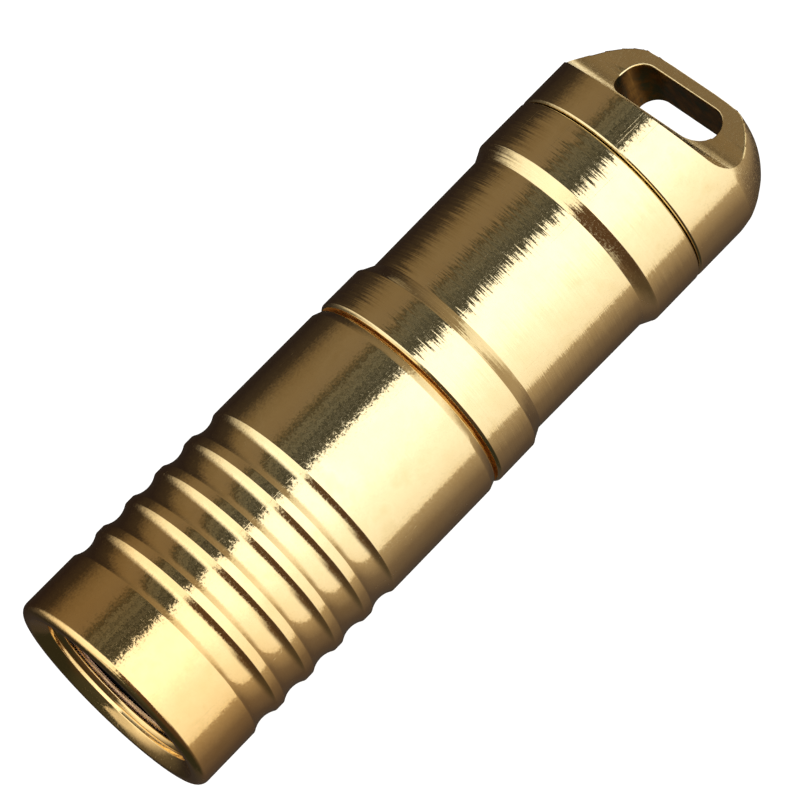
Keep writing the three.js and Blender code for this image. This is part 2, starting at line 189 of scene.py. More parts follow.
BRIGHT = 1.8  # the strongest light that the ramps hold
beside_barrel = [
    (268, 0.086, 0.062, 0.050),
    (250, 0.060, 0.048, 0.040),
    (230, 0.030, 0.022, 0.018),
    (200, 0.024, 0.016, 0.014),
    (172, 0.050, 0.036, 0.025),
    (160, 0.14, 0.10, 0.06),
    (152, 0.20, 0.145, 0.085),
    (137, 0.235, 0.175, 0.110),
    (120, 0.22, 0.165, 0.110),
    (116, 0.150, 0.115, 0.072),
    (110, 0.060, 0.052, 0.035),
    (105, 0.200, 0.180, 0.140),
    (101, 0.060, 0.056, 0.042),
    (97, 0.190, 0.180, 0.148),
    (93, 0.034, 0.034, 0.027),
    (89, 0.140, 0.136, 0.118),
    (85, 0.032, 0.033, 0.027),
    (81, 0.120, 0.118, 0.100),
    (78, 0.045, 0.045, 0.038),
    (76, 0.095, 0.095, 0.080),
    (74.8, 1.45, 1.47, 1.55),
    (64, 1.70, 1.70, 1.78),
    (42, 1.68, 1.68, 1.72),
    (27, 1.50, 1.50, 1.52),
    (14, 1.28, 1.28, 1.28),
    (0, 1.20, 1.20, 1.16),
    (-24, 1.08, 1.02, 0.95),
    (-31, 0.98, 0.88, 0.76),
    (-33, 0.47, 0.37, 0.26),
    (-44, 0.35, 0.27, 0.19),
    (-60, 0.19, 0.14, 0.104),
    (-89, 0.088, 0.064, 0.052),
]
over_lens = [
    (260, 0.06, 0.05, 0.04),
    (215, 0.03, 0.025, 0.02),
    (190, 0.12, 0.10, 0.08),
    (172, 0.60, 0.54, 0.46),
    (150, 1.10, 1.05, 0.96),
    (120, 1.40, 1.38, 1.34),
    (75, 1.60, 1.60, 1.60),
    (30, 1.50, 1.50, 1.50),
    (10, 1.10, 1.08, 1.00),
    (-8, 0.16, 0.10, 0.06),
    (-34, 0.10, 0.07, 0.045),
    (-56, 0.08, 0.06, 0.04),
    (-76, 0.035, 0.034, 0.022),
]
under_lens = [
    (260, 0.03, 0.03, 0.02),
    (215, 0.03, 0.025, 0.02),
    (190, 0.14, 0.12, 0.09),
    (172, 0.70, 0.63, 0.54),
    (150, 1.20, 1.15, 1.06),
    (100, 1.40, 1.38, 1.34),
    (76, 1.30, 1.28, 1.22),
    (66, 0.12, 0.07, 0.04),
    (20, 0.10, 0.055, 0.03),
    (-34, 0.07, 0.045, 0.028),
    (-60, 0.03, 0.03, 0.02),
]
ahead = [
    (250, 0.05, 0.05, 0.035),
    (190, 0.07, 0.065, 0.05),
    (165, 0.80, 0.74, 0.64),
    (110, 0.80, 0.74, 0.64),
    (80, 0.07, 0.065, 0.05),
    (-60, 0.05, 0.05, 0.035),
]
behind_loop = [
    (245, 0.42, 0.33, 0.24),
    (228, 1.00, 0.94, 0.82),
    (200, 1.25, 1.20, 1.10),
    (188, 0.50, 0.42, 0.30),
    (170, 0.12, 0.09, 0.06),
    (120, 0.26, 0.20, 0.13),
    (78, 0.36, 0.29, 0.20),
    (68, 0.95, 0.90, 0.78),
    (20, 1.15, 1.10, 1.00),
    (-6, 0.85, 0.77, 0.63),
    (-20, 0.46, 0.37, 0.26),
    (-50, 0.42, 0.33, 0.23),
    (-85, 0.34, 0.26, 0.18),
]


def round_tent(rows):
    """Turns the rows of a list into stops of a ramp that starts and ends straight below."""
    return sorted(
        ((270 - elevation) % 360 / 360, (*[c / BRIGHT for c in light], 1)) for elevation, *light in rows
    )


light = node(tent, "ShaderNodeValToRGB", {"Fac": turn}, stops=round_tent(beside_barrel)).outputs["Color"]
for start, full, rows in (
    (-0.10, -0.36, over_lens),
    (-0.38, -0.50, under_lens),
    (-0.86, -0.96, ahead),
    (0.62, 0.80, behind_loop),
):
    share = node(
        tent, "ShaderNodeMapRange", {"Value": parts["X"], "From Min": start, "From Max": full},
        interpolation_type="SMOOTHSTEP",
    ).outputs[0]
    here = node(tent, "ShaderNodeValToRGB", {"Fac": turn}, stops=round_tent(rows)).outputs["Color"]
    light = node(tent, "ShaderNodeMix", {0: share, 6: light, 7: here}, data_type="RGBA").outputs[2]
backdrop = node(tent, "ShaderNodeBackground", {"Color": light, "Strength": BRIGHT})
node(tent, "ShaderNodeOutputWorld", {"Surface": backdrop.outputs[0]})
bpy.context.scene.view_settings.view_transform = "Standard"

# %% [markdown]
# The floor is plain white paper, bright enough to have no edge. The brass doesn't mirror it, because in the
# tent the piece hides the patch of paper that its own underside looks at.

# %% Lay the floor
FLOOR_HALF = 3.0
UNDER_BARREL = 0.02 * MM
PAPER_GREY, PAPER_GLOW = 0.35, 0.93
floor_mesh = bmesh.new()
bmesh.ops.create_grid(floor_mesh, x_segments=1, y_segments=1, size=FLOOR_HALF)
floor_data = bpy.data.meshes.new("floor")
floor_mesh.to_mesh(floor_data)
floor_mesh.free()
floor = bpy.data.objects.new("floor", floor_data)
floor_data.transform(Matrix.Translation((0, 0, -UNDER_BARREL)))
bpy.context.scene.collection.objects.link(floor)
paper, tree, shader = new_material("matt_white_paper")
shader.inputs["Base Color"].default_value = (PAPER_GREY, PAPER_GREY, PAPER_GREY, 1)
shader.inputs["Roughness"].default_value = 1.0
shader.inputs["Specular IOR Level"].default_value = 0.0
shader.inputs["Emission Color"].default_value = (1, 1, 1, 1)
shader.inputs["Emission Strength"].default_value = PAPER_GLOW
floor_data.materials.append(paper)
floor.visible_glossy = False

# %% [markdown]
# ## Turning a piece
# A lathe moves a cutter along a profile while the bar spins. Here the profile is a short chain of points, and
# the spin operator turns it once round the axis, which is how the real piece was made. Every real edge is
# broken by a small chamfer so that it catches the light, so the sharp rings are then bevelled. Weighted normals
# keep the broad faces flat in shade and let only the narrow chamfers round off.


# %% Helpers for turned pieces
SIDES_ROUND = 160
CORNER = math.radians(14)
SHARP = math.radians(30)


def arc(station, radius, size, start, end, steps):
    """Profile points along a circle about a point beside the axis, from one angle to another in degrees."""
    angles = [math.radians(start + (end - start) * i / steps) for i in range(steps + 1)]
    return [(station + size * math.cos(a), radius + size * math.sin(a)) for a in angles]


def turned(profile, closed=True, sides=SIDES_ROUND):
    """Spins a profile round the axis into a bmesh. An open one starts and ends on the axis."""
    bm = bmesh.new()
    chain = [bm.verts.new(at(s, r)) for s, r in profile]
    pairs = list(zip(chain, chain[1:])) + ([(chain[-1], chain[0])] if closed else [])
    edges = [bm.edges.new(pair) for pair in pairs]
    bmesh.ops.spin(
        bm, geom=chain + edges, cent=AXIS, axis=(1, 0, 0), dvec=(0, 0, 0),
        angle=ROUND, steps=sides, use_merge=True, use_duplicate=False,
    )
    bmesh.ops.remove_doubles(bm, verts=bm.verts, dist=1e-7)
    bmesh.ops.recalc_face_normals(bm, faces=bm.faces)
    return bm


def break_edges(bm, width, segments=2, where=None, clamp=True):
    """Bevels the edges whose faces meet at a corner, or only those of them that pass a test."""
    corners = [e for e in bm.edges if len(e.link_faces) == 2 and e.calc_face_angle() > CORNER]
    if where:
        corners = [e for e in corners if where(e)]
    bmesh.ops.bevel(
        bm, geom=corners, offset=width * MM, offset_type="OFFSET", affect="EDGES", segments=segments,
        profile=0.5, material=-1, clamp_overlap=clamp,
    )
    return len(corners)


def piece(name, bm, finishes, body, stands_for):
    """Makes the finished object, with its finishes, its body and the nodes that it stands for."""
    data = bpy.data.meshes.new(name)
    bm.to_mesh(data)
    bm.free()
    data.polygons.foreach_set("use_smooth", [True] * len(data.polygons))
    data.set_sharp_from_angle(angle=SHARP)
    for finish in finishes:
        data.materials.append(finish)
    made = bpy.data.objects.new(name, data)
    bpy.context.scene.collection.objects.link(made)
    even = made.modifiers.new("even_normals", "WEIGHTED_NORMAL")
    even.keep_sharp = True
    even.weight = 100
    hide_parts(*stands_for)
    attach(made, body)
    print(name, "faces:", len(data.polygons))
    return made


# %% [markdown]
# ## Brass finishes
# All the brass is one alloy, but each piece left the lathe with its own surface. The head and the cap were
# buffed, which leaves soft hollows that mottle the edge of a reflection. The tube keeps fine rings from the
# cutter, which draw the edge of the light out into needles round the barrel. Both carry a few hair scratches.
#
# Rings and hollows are only micrometres deep, and a bump that shallow hardly shows, so the finish leans the
# surface's own normal by a noise instead. The leaning is strongest on the upper side, where hands rub it.
# A noise is counted in patches for each millimetre of the real surface.

# %% Sizes of the marks in brass
IN_MM = (1000, 1000, 1000)  # metres to millimetres
RING_MAP = (15000, 330, 330)  # rings 0.07 mm apart, as the cutter's feed leaves them, in arcs of 3 mm
HOLLOWS = 7.0  # hollows 0.14 mm across, the size that a buffing wheel leaves
PATINA = 0.35  # clouds of tarnish 3 mm across
SCRATCH_MAP = (150, 9000, 5000)  # lines 0.1 to 0.2 mm wide and 7 mm long: real ones are finer and wouldn't show
SCRATCH_TURN = (0.5, 0.9, 0.4)
SCRATCH_DEPTH = 1.5e-6
SCRATCH_DULL = 0.10
SATIN_DULL = 0.15


# %% A brass with its own rings, mottling and polish
def brass(name, rings, mottle, rough, worn, satin_from=None):
    """Polished brass. Rings and mottle say how far the turning rings and the buffed hollows tilt the surface,
    and worn is how rough the rubbed patches between them are. Satin is for a loop that was only brushed. Near
    the rim the colour is tinted warmer and darker, a painted highlight that makes the front of the head reflect
    less white."""
    material, tree, shader = new_material(name)
    place = node(tree, "ShaderNodeTexCoord").outputs["Object"]
    in_mm = node(tree, "ShaderNodeMapping", {"Vector": place, "Scale": IN_MM}).outputs[0]
    along = node(tree, "ShaderNodeMapping", {"Vector": place, "Scale": RING_MAP}).outputs[0]
    ring_noise = node(
        tree, "ShaderNodeTexNoise", {"Vector": along, "Scale": 1.0, "Detail": 2.0, "Roughness": 0.6}
    ).outputs["Color"]
    hollow_noise = node(
        tree, "ShaderNodeTexNoise", {"Vector": in_mm, "Scale": HOLLOWS, "Detail": 4.0, "Roughness": 0.7}
    ).outputs
    hollows = hollow_noise["Fac"]
    scratch_map = node(
        tree, "ShaderNodeMapping",
        {"Vector": place, "Rotation": SCRATCH_TURN, "Scale": SCRATCH_MAP},
    ).outputs[0]
    scratch_noise = node(
        tree, "ShaderNodeTexNoise", {"Vector": scratch_map, "Scale": 1.0, "Detail": 1.0}
    ).outputs["Fac"]
    scratches = node(
        tree, "ShaderNodeMapRange", {"Value": scratch_noise, "From Min": 0.72, "From Max": 0.76}
    ).outputs[0]
    patina = node(
        tree, "ShaderNodeTexNoise", {"Vector": in_mm, "Scale": PATINA, "Detail": 3.0, "Roughness": 0.7}
    ).outputs["Fac"]
    colour = node(
        tree, "ShaderNodeValToRGB", {"Fac": patina},
        stops=[(0.35, linear("f3dda9")), (0.55, linear("f6e2b0")), (0.75, linear("eed8a2"))],
    )
    # Painted highlight: from 3 mm to 16 mm back from the front rim the colour fades from a warm, darker tint to
    # plain, so the highlight on the front of the head reads less white than further back.
    x = node(tree, "ShaderNodeSeparateXYZ", {"Vector": place}).outputs["X"]
    back = node(
        tree, "ShaderNodeMapRange", {"Value": x, "From Min": at(3, 0).x, "From Max": at(16, 0).x}
    ).outputs[0]
    painted_front_highlight_tint = node(
        tree, "ShaderNodeMix", {0: back, 6: linear("fff0da"), 7: (1, 1, 1, 1)}, data_type="RGBA"
    ).outputs[2]
    alloy = node(
        tree, "ShaderNodeMix", {0: 1.0, 6: colour.outputs["Color"], 7: painted_front_highlight_tint},
        data_type="RGBA", blend_type="MULTIPLY",
    ).outputs[2]
    tree.links.new(alloy, shader.inputs["Base Color"])
    wear = node(
        tree, "ShaderNodeMapRange",
        {"Value": hollows, "From Min": 0.44, "From Max": 0.66, "To Min": rough, "To Max": worn},
    ).outputs[0]
    polish = node(
        tree, "ShaderNodeMath", {0: scratches, 1: SCRATCH_DULL, 2: wear}, operation="MULTIPLY_ADD"
    ).outputs[0]
    if satin_from is not None:
        on_end = node(
            tree, "ShaderNodeMapRange",
            {"Value": x, "From Min": at(satin_from, 0).x, "From Max": at(satin_from + 0.5, 0).x},
        ).outputs[0]
        facing = node(tree, "ShaderNodeNewGeometry").outputs["Normal"]
        rearward = node(tree, "ShaderNodeSeparateXYZ", {"Vector": facing}).outputs["X"]
        on_wall = node(
            tree, "ShaderNodeMapRange", {"Value": rearward, "From Min": 0.15, "From Max": 0.35}
        ).outputs[0]
        satin = node(tree, "ShaderNodeMath", {0: on_end, 1: on_wall}, operation="MAXIMUM").outputs[0]
        polish = node(
            tree, "ShaderNodeMath", {0: satin, 1: SATIN_DULL, 2: polish}, operation="MULTIPLY_ADD"
        ).outputs[0]
    tree.links.new(polish, shader.inputs["Roughness"])
    shader.inputs["Metallic"].default_value = 1.0
    tilt = node(tree, "ShaderNodeNewGeometry").outputs["Normal"]
    height = node(tree, "ShaderNodeSeparateXYZ", {"Vector": place}).outputs["Z"]
    upper = node(
        tree, "ShaderNodeMapRange",
        {"Value": height, "From Min": AXIS.z + 2.2 * MM, "From Max": AXIS.z + 4.8 * MM, "To Min": 0.3},
    ).outputs[0]
    for noise, depth in ((ring_noise, rings), (hollow_noise["Color"], mottle)):
        lean = node(
            tree, "ShaderNodeVectorMath", {0: noise, 1: (0.4, 1.0, 1.0), 2: (-0.2, -0.5, -0.5)},
            operation="MULTIPLY_ADD",
        ).outputs[0]
        much = node(tree, "ShaderNodeMath", {0: upper, 1: depth}, operation="MULTIPLY").outputs[0]
        tilt = node(
            tree, "ShaderNodeVectorMath", {0: lean, 1: much, 2: tilt}, operation="MULTIPLY_ADD"
        ).outputs[0]
    level = node(tree, "ShaderNodeVectorMath", {0: tilt}, operation="NORMALIZE").outputs[0]
    scratched = node(
        tree, "ShaderNodeBump",
        {"Height": scratches, "Distance": -SCRATCH_DEPTH, "Strength": 1.0, "Normal": level},
    ).outputs[0]
    tree.links.new(scratched, shader.inputs["Normal"])
    return material


# The head shows soft blotches, the tube needles of light, and the cap blotches that end in a satin loop.
buffed_brass = brass("brass_buffed_head", rings=0.06, mottle=0.25, rough=0.03, worn=0.24)
turned_brass = brass("brass_fine_turned_tube", rings=0.40, mottle=0.18, rough=0.03, worn=0.24)
loop_brass = brass(
    "brass_buffed_cap_satin_loop", rings=0.10, mottle=0.24, rough=0.03, worn=0.25, satin_from=44.6
)
print("brasses:", buffed_brass.name, turned_brass.name, loop_brass.name)

# %% [markdown]
# The slot's walls were milled and never buffed. Hands and key rings leave grime there, so this brass is dull
# and has darkened to a greenish brown.

# %% The milled slot's finish
CUTTER_MAP = (500, 500, 7000)  # milling lines 0.14 mm apart: the real ones are finer and wouldn't show
slot_brass, tree, shader = new_material("brass_milled_tarnished_slot")
place = node(tree, "ShaderNodeTexCoord").outputs["Object"]
in_mm = node(tree, "ShaderNodeMapping", {"Vector": place, "Scale": IN_MM}).outputs[0]
grime = node(tree, "ShaderNodeTexNoise", {"Vector": in_mm, "Scale": 1.1, "Detail": 4.0}).outputs["Fac"]
tarnish = node(
    tree, "ShaderNodeValToRGB", {"Fac": grime},
    stops=[(0.36, linear("5f6650")), (0.5, linear("8a6c3e")), (0.7, linear("b08a4c"))],
)
tree.links.new(tarnish.outputs["Color"], shader.inputs["Base Color"])
shader.inputs["Metallic"].default_value = 1.0
shader.inputs["Roughness"].default_value = 0.34
cutter_marks = node(tree, "ShaderNodeMapping", {"Vector": place, "Scale": CUTTER_MAP}).outputs[0]
lines = node(tree, "ShaderNodeTexNoise", {"Vector": cutter_marks, "Scale": 1.0, "Detail": 2.0}).outputs["Fac"]
marks = node(tree, "ShaderNodeBump", {"Height": lines, "Distance": 6e-6, "Strength": 1.0}).outputs[0]
tree.links.new(marks, shader.inputs["Normal"])

# %% [markdown]
# The gap between the head and the tube's collar gets a rough, darker and deeper orange brass with clouds of
# tone. Light that gets into it bounces between its two walls and takes up more of the brass's colour each time,
# so it glows orange brown: that glow and the gap's shade are painted into this colour as painted reflection and
# painted shade.

# %% The painted glow and shade inside the gap
shadow_brass, tree, shader = new_material("brass_painted_gap_glow")
place = node(tree, "ShaderNodeTexCoord").outputs["Object"]
in_mm = node(tree, "ShaderNodeMapping", {"Vector": place, "Scale": IN_MM}).outputs[0]
gap_tone = node(tree, "ShaderNodeTexNoise", {"Vector": in_mm, "Scale": 1.5, "Detail": 3.0}).outputs["Fac"]
warm = node(
    tree, "ShaderNodeValToRGB", {"Fac": gap_tone}, stops=[(0.35, linear("c98a35")), (0.65, linear("e8b862"))]
)
tree.links.new(warm.outputs["Color"], shader.inputs["Base Color"])
shader.inputs["Metallic"].default_value = 1.0
shader.inputs["Roughness"].default_value = 0.5

# %% Which faces are in the gap
def paint_gap_glow_between(bm, start, end, below):
    """Gives the second material, the painted glow and shade of the gap, to the faces between two stations and
    under a radius.
    """
    count = 0
    for face in bm.faces:
        middle = face.calc_center_median()
        radius = math.hypot(middle.y - AXIS.y, middle.z - AXIS.z) / MM
        if at(start, 0).x < middle.x < at(end, 0).x and radius < below:
            face.material_index = 1
            count += 1
    return count


# %% [markdown]
# ## The head
# The head is a thick sleeve over the lens, the reflector and the driver. Its mouth opens in a narrow cone, its
# rim is rounded, and five shallow hollow grooves give the fingers a grip behind it.

# %% Turn the head
HEAD_R = 7.0
RIM_FILLET = 0.55
GROOVES = 5
GROOVE_START = 4.27
GROOVE_PITCH = 2.345
GROOVE_HALF = 0.9
GROOVE_DEPTH = 0.26
GROOVE_ROUND = (GROOVE_HALF**2 + GROOVE_DEPTH**2) / (2 * GROOVE_DEPTH)
head_profile = [(0.0, 6.15)] + arc(RIM_FILLET, HEAD_R - RIM_FILLET, RIM_FILLET, 180, 90, 8)
for groove in range(GROOVES):
    middle = GROOVE_START + GROOVE_HALF + groove * GROOVE_PITCH
    spread = math.degrees(math.asin(GROOVE_HALF / GROOVE_ROUND))
    centre_r = HEAD_R - 0.02 - GROOVE_DEPTH + GROOVE_ROUND
    head_profile += arc(middle, centre_r, GROOVE_ROUND, 270 - spread, 270 + spread, 14)
head_profile += [
    (23.3, 6.95), (23.8, 6.76), (23.8, 6.44), (23.6, 6.3), (21.4, 6.3), (21.1, 6.0), (13.2, 6.0),
    (13.2, 5.75), (1.5, 5.75), (1.5, 4.95), (1.07, 4.95), (0.85, 5.13), (0.85, 5.4), (0.62, 5.4),
]
head_mesh = turned(head_profile)
print("head edges broken:", break_edges(head_mesh, 0.035))
# The head's faces in the gap get the painted reflection and painted shade of the gap.
print("faces in the gap:", paint_gap_glow_between(head_mesh, 21.2, 23.9, 6.74))
piece("head_turned", head_mesh, [buffed_brass, shadow_brass], "head", ["head_shell"])

# %% [markdown]
# ## The body tube
# The tube carries the neck that the head screws on, a collar that the head nearly meets, a waist with fine
# turning rings, and the ring that the tail cap closes on.

# %% Turn the tube
tube_profile = [
    (17.25, 5.27), (17.25, 5.72), (17.47, 5.94), (21.5, 5.94), (21.75, 6.24), (22.3, 6.24), (22.3, 5.72),
    (23.1, 5.72), (23.1, 6.24), (24.05, 6.24), (24.05, 6.76), (24.23, 6.94), (26.92, 6.92), (27.05, 6.82),
    (27.8, 6.45), (36.27, 6.5), (37.0, 6.85), (37.14, 6.93), (40.4, 6.92), (40.5, 6.82), (40.5, 6.15),
    (40.35, 6.0), (36.8, 6.0), (36.4, 5.15), (17.37, 5.15),
]
tube_mesh = turned(tube_profile)
print("tube edges broken:", break_edges(tube_mesh, 0.04))
# The collar's faces in the gap get the painted reflection and painted shade of the gap.
print("faces in the gap:", paint_gap_glow_between(tube_mesh, 22.9, 24.1, 6.74))
piece("tube_turned", tube_mesh, [turned_brass, shadow_brass], "body", ["body_tube"])

# %% [markdown]
# ## The tail cap
# The cap is turned first, from its threaded spigot to a blunt rounded end. The rounded end is part of an
# ellipse with a power of its own, between a cone and a ball, because neither fits.

# %% Turn the cap
CAP_R = 6.91
DOME_START, DOME_EDGE, DOME_EDGE_R, DOME_CURVE = 44.7, 48.1, 4.0, 1.45
LOOP_END = length - 0.01  # a hair inside the CAD box
dome = []
for step in range(25):
    a = math.pi / 2 * step / 24
    s = DOME_START + (DOME_EDGE - DOME_START) * math.sin(a) ** (2 / DOME_CURVE)
    r = DOME_EDGE_R + (CAP_R - DOME_EDGE_R) * max(math.cos(a), 0) ** (2 / DOME_CURVE)
    dome.append((s, r))
cap_profile = [
    (42.2, 0), (42.2, 4.6), (37.0, 4.6), (37.0, 5.74), (37.2, 5.94), (39.5, 5.94), (39.5, 5.33),
    (40.3, 5.33), (40.3, 5.94), (40.6, 5.94), (40.6, 6.77), (40.74, CAP_R), *dome,
    (LOOP_END - 0.03, 3.3), (LOOP_END, 2.5), (LOOP_END, 0),
]
cap_mesh = turned(cap_profile, closed=False)
print("cap edges broken:", break_edges(cap_mesh, 0.04, where=lambda e: e.verts[0].co.x < at(44, 0).x))

# %% [markdown]
# Then a cutter takes a slab off each side of the end, running out through a rounded corner up a leaning wall,
# and the slot for the key ring is milled through what is left. Each waste is a closed solid of its own: an
# outline that is extruded for the flats, and a bar with rounded corners for the slot.

# %% The three wastes
LOOP_HALF = 1.85
FLAT_START, FLAT_FILLET = 43.2, 2.5
LEAN = math.radians(15)


def flat_waste():
    """The waste over the upper flat: a leaning wall, a rounded corner and the flat itself."""
    reach = LOOP_HALF + FLAT_FILLET * (1 - math.sin(LEAN))
    wall_top = FLAT_START + (CAP_R - 9) * math.tan(LEAN)
    centre = FLAT_START + (CAP_R - reach) * math.tan(LEAN) + FLAT_FILLET * math.cos(LEAN)
    corner = arc(centre, LOOP_HALF + FLAT_FILLET, FLAT_FILLET, 180 + math.degrees(LEAN), 270, 10)
    outline = [(wall_top, 9), *corner, (52, LOOP_HALF), (52, 9)]
    bm = bmesh.new()
    face = bm.faces.new([bm.verts.new(at(s, h, -THROUGH / 2)) for s, h in outline])
    grown = bmesh.ops.extrude_face_region(bm, geom=[face])["geom"]
    moved = [v for v in grown if isinstance(v, bmesh.types.BMVert)]
    bmesh.ops.translate(bm, verts=moved, vec=(0, THROUGH * MM, 0))
    bmesh.ops.recalc_face_normals(bm, faces=bm.faces)
    return bm


SLOT_CENTRE, SLOT_WIDTH, SLOT_LENGTH, SLOT_END_R = 46.1, 2.65, 7.45, 1.25
THROUGH = 20  # longer than the cap is wide


def slot_waste():
    """The slot's waste: a bar with rounded corners through the loop from flat to flat."""
    bm = bmesh.new()
    bmesh.ops.create_cube(bm, size=1.0)
    bmesh.ops.scale(bm, verts=bm.verts, vec=(SLOT_WIDTH * MM, SLOT_LENGTH * MM, THROUGH * MM))
    bmesh.ops.translate(bm, verts=bm.verts, vec=at(SLOT_CENTRE, 0))
    upright = [e for e in bm.edges if abs(e.verts[0].co.z - e.verts[1].co.z) > MM]
    bmesh.ops.bevel(
        bm, geom=upright, offset=SLOT_END_R * MM, offset_type="OFFSET", affect="EDGES", segments=12,
        profile=0.5, material=-1, clamp_overlap=True,
    )
    return bm

# %% [markdown]
# An exact boolean takes the wastes off. It leaves needle-thin triangles where they met the turned faces, so
# points that fell together are merged and level triangles are joined before any edge is broken.

# %% Cut the loop
def cut(bm, wastes):
    """Takes each waste off a bmesh with the exact boolean and returns the result as a new bmesh."""
    objects = []
    for source in [bm, *wastes]:
        data = bpy.data.meshes.new("cut")
        source.to_mesh(data)
        source.free()
        made = bpy.data.objects.new("cut", data)
        bpy.context.scene.collection.objects.link(made)
        objects.append(made)
    for waste in objects[1:]:
        knife = objects[0].modifiers.new("cut", "BOOLEAN")
        knife.operation = "DIFFERENCE"
        knife.solver = "EXACT"
        knife.object = waste
    depsgraph = bpy.context.evaluated_depsgraph_get()
    left = bmesh.new()
    left.from_object(objects[0], depsgraph)
    for made in objects:
        bpy.data.objects.remove(made)
    return left


lower_waste = flat_waste()
bmesh.ops.rotate(lower_waste, verts=lower_waste.verts, cent=AXIS, matrix=Matrix.Rotation(math.pi, 3, "X"))
loop_mesh = cut(cap_mesh, [flat_waste(), lower_waste, slot_waste()])
bmesh.ops.remove_doubles(loop_mesh, verts=loop_mesh.verts, dist=2e-6)
bmesh.ops.dissolve_limit(
    loop_mesh, angle_limit=math.radians(0.2), verts=loop_mesh.verts, edges=loop_mesh.edges, delimit={"NORMAL"},
)

# %% [markdown]
# The outline of the flats and the slot's mouth have a polished chamfer, which shows as a bright thread round
# the loop. Only these edges are picked, by the one level face that they share. The slot's walls get the dull
# finish that the cutter left.

# %% Break the loop's edges
def round_flat(edge):
    """True at the outline of a flat and at the slot's mouth in it: one of the edge's two faces lies level."""
    level = [abs(face.normal.z) > 0.98 for face in edge.link_faces]
    return edge.verts[0].co.x > at(44.7, 0).x and level.count(True) == 1


def in_slot(face):
    """True for the slot's own walls."""
    middle = face.calc_center_median()
    beside = abs(middle.y - AXIS.y) / MM < 3.9 and at(44.6, 0).x < middle.x < at(47.6, 0).x
    return beside and abs(face.normal.z) < 0.3 and abs(middle.z - AXIS.z) / MM < 3.2


print("loop edges broken:", break_edges(loop_mesh, 0.12, segments=3, where=round_flat, clamp=False))
walls = [face for face in loop_mesh.faces if in_slot(face)]
for face in walls:
    face.material_index = 1
print("slot walls:", len(walls))
piece("cap_turned", loop_mesh, [loop_brass, slot_brass], "cap", ["tail_cap"])

# %% [markdown]
# ## Lens and reflector
# Behind the lip sits a flat glass with a violet anti-reflection coat, and behind it an aluminium bowl whose
# inside is a parabola, so the light source at its focus shines straight ahead.


# %% Finishes behind the lip
def plain(name, code, rough, metallic=0.0, grain=2.0, depth=2.0):
    """A finish with clouds of colour and a grain, counted in patches a millimetre and micrometres deep."""
    material, tree, shader = new_material(name)
    place = node(tree, "ShaderNodeTexCoord").outputs["Object"]
    in_mm = node(tree, "ShaderNodeMapping", {"Vector": place, "Scale": IN_MM}).outputs[0]
    noise = node(tree, "ShaderNodeTexNoise", {"Vector": in_mm, "Scale": grain, "Detail": 3.0}).outputs["Fac"]
    base = linear(code)
    dark = tuple(c * 0.82 for c in base[:3]) + (1,)
    colour = node(tree, "ShaderNodeValToRGB", {"Fac": noise}, stops=[(0.3, dark), (0.6, base)])
    tree.links.new(colour.outputs["Color"], shader.inputs["Base Color"])
    wear = node(
        tree, "ShaderNodeMapRange", {"Value": noise, "From Min": 0.3, "From Max": 0.7, "To Min": rough * 0.8,
                                     "To Max": min(rough * 1.2, 1.0)},
    ).outputs[0]
    tree.links.new(wear, shader.inputs["Roughness"])
    shader.inputs["Metallic"].default_value = metallic
    bump = node(tree, "ShaderNodeBump", {"Height": noise, "Distance": depth * 1e-6, "Strength": 1.0}).outputs[0]
    tree.links.new(bump, shader.inputs["Normal"])
    return material


glass, tree, shader = new_material("glass_coated_lens")
shader.inputs["Base Color"].default_value = linear("f6f1ee")
shader.inputs["Roughness"].default_value = 0.02
shader.inputs["IOR"].default_value = 1.52
shader.inputs["Transmission Weight"].default_value = 1.0
shader.inputs["Coat Weight"].default_value = 0.6
shader.inputs["Coat Tint"].default_value = linear("efe9fb")
mirror_aluminium = plain("aluminium_vapour_mirror", "e4e5e8", 0.04, 1.0, 1.2, 1.0)
rubber = plain("nitrile_rubber_moulded_ring", "1b1b1d", 0.45, 0.0, 3.0, 3.0)

# %% Lens, reflector and their seal
lens_profile = [(2.25, 0), (2.25, 5.48), (2.37, 5.6), (3.23, 5.6), (3.35, 5.48), (3.35, 0)]
piece("lens_disc", turned(lens_profile, closed=False), [glass], "optic", ["lens"])

MOUTH, THROAT, BOWL_FRONT, BOWL_REAR = 5.1, 1.75, 3.6, 9.6
widen = (MOUTH**2 - THROAT**2) / (BOWL_REAR - BOWL_FRONT)
bowl = [(3.45, MOUTH)]
for step in range(33):
    s = BOWL_FRONT + (BOWL_REAR - BOWL_FRONT) * step / 32
    bowl.append((s, math.sqrt(MOUTH**2 - widen * (s - BOWL_FRONT))))
bowl += [(9.6, 3.2), (8.6, 3.5), (6.8, 4.6), (5.0, 5.6), (3.45, 5.6)]
piece("reflector_bowl", turned(bowl), [mirror_aluminium], "optic", ["reflector"])


def o_ring(name, station, radius, thick, body, stands_for):
    """A rubber ring: a circle beside the axis, spun round it."""
    piece(name, turned(arc(station, radius, thick, 11.25, 348.75, 15)), [rubber], body, [stands_for])


o_ring("lens_seal", 1.89, 5.38, 0.3, "optic", "lens_o_ring")
o_ring("neck_seal", 22.7, 5.98, 0.24, "body", "head_o_ring")
o_ring("cap_seal_ring", 39.9, 5.62, 0.26, "cap_seal", "tail_o_ring")

# %% [markdown]
# ## The light source
# The chip is a yellow phosphor square under a clear silicone dome, on a white ceramic base. The dome is the
# only part of it that bulges, so it is spun from a quarter circle.

